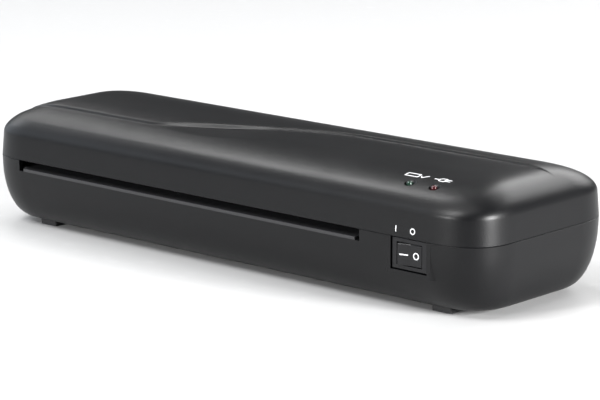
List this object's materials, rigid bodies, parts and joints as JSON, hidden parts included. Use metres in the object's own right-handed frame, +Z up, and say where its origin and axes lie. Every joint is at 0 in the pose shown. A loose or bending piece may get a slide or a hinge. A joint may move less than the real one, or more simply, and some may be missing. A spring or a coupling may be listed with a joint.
{
  "type": "pouch laminator",
  "caption": "Desktop pouch laminator: rounded black two-part shell with a wide front slot, rocker switch, indicator lamps, heated shoes and geared rollers.",
  "frame": {"origin": "on the table, under the middle of the body", "axes": "+X to the right seen from the front, along the length; +Y to the back; +Z up; pouches go in along +Y"},
  "size_m": [0.33, 0.1103, 0.063],
  "materials": {
    "black_abs": "fine spark-eroded texture",
    "black_switch": "satin",
    "guide_plastic": "smooth",
    "frame_steel": "galvanised",
    "bright_steel": "turned",
    "shoe_aluminium": "extruded",
    "element_ceramic": "matt",
    "white_plastic": "satin",
    "gear_plastic": "natural acetal",
    "silicone": "smooth",
    "foot_rubber": "matt",
    "screw_steel": "zinc plated",
    "spring_steel": "bright",
    "brass_tab": "tinned",
    "green_lens": "clear tinted",
    "red_lens": "clear tinted",
    "circuit_board": "solder resist",
    "wire_cover": "PVC"
  },
  "bodies": {
    "case": {"top_cover": "black_abs", "base_shell": "black_abs", "entry_guide_lower": "guide_plastic", "entry_guide_upper": "guide_plastic", "exit_guide_lower": "guide_plastic", "exit_guide_upper": "guide_plastic", "side_frame_left": "frame_steel", "side_frame_right": "frame_steel", "tie_rods": "bright_steel", "heat_shield": "frame_steel", "heater_shoe_lower": "shoe_aluminium", "heater_shoe_upper": "shoe_aluminium", "heating_element_lower": "element_ceramic", "heating_element_upper": "element_ceramic", "thermostats": "bright_steel", "thermal_fuse": "white_plastic", "shoe_screws": "screw_steel", "roller_bushes": "gear_plastic", "spring_left": "spring_steel", "spring_right": "spring_steel", "motor": "frame_steel", "motor_spacers": "bright_steel", "motor_screws": "screw_steel", "switch_body": "black_switch", "switch_terminals": "brass_tab", "led_ready": "green_lens", "led_power": "red_lens", "led_board": "circuit_board", "led_board_screws": "screw_steel", "frame_screws": "screw_steel", "case_screws": "screw_steel", "foot_front_left": "foot_rubber", "foot_front_right": "foot_rubber", "foot_rear_left": "foot_rubber", "foot_rear_right": "foot_rubber", "cord_gland": "foot_rubber", "terminal_block": "white_plastic", "mains_wires": "wire_cover", "switch_wires": "wire_cover", "led_wires": "wire_cover", "motor_wires": "wire_cover"},
    "rocker": {"switch_rocker": "black_switch"},
    "lower_roller": {"lower_shaft": "bright_steel", "lower_sleeve": "silicone", "lower_gear": "gear_plastic", "lower_clips": "spring_steel"},
    "upper_carrier": {"bearing_block_left": "white_plastic", "bearing_block_right": "white_plastic"},
    "upper_roller": {"upper_shaft": "bright_steel", "upper_sleeve": "silicone", "upper_gear": "gear_plastic", "upper_clips": "spring_steel"},
    "motor_output": {"motor_shaft": "bright_steel", "motor_pinion": "gear_plastic"}
  },
  "joints": [
    {"name": "switch_rock", "type": "hinge", "parent": "case", "child": "rocker", "pos_m": [0.1245, -0.049, 0.02845], "axis": [0, 0, -1], "range_deg": [0, 16]},
    {"name": "lower_roller_spin", "type": "hinge", "parent": "case", "child": "lower_roller", "pos_m": [0, 0.008, 0.024], "axis": [1, 0, 0], "continuous": true},
    {"name": "upper_carrier_lift", "type": "slide", "parent": "case", "child": "upper_carrier", "axis": [0, 0, 1], "range_m": [0, 0.001], "stiffness_N_per_m": 8000, "springref_m": -0.0015, "deforming": ["spring_left", "spring_right"]},
    {"name": "upper_roller_spin", "type": "hinge", "parent": "upper_carrier", "child": "upper_roller", "pos_m": [0, 0.008, 0.044], "axis": [1, 0, 0], "continuous": true},
    {"name": "motor_spin", "type": "hinge", "parent": "case", "child": "motor_output", "pos_m": [0, 0.026, 0.024], "axis": [1, 0, 0], "continuous": true}
  ],
  "couplings": [
    {"joint": "upper_roller_spin", "follows": "lower_roller_spin", "ratio": -1},
    {"joint": "motor_spin", "follows": "lower_roller_spin", "ratio": -1.25}
  ]
}
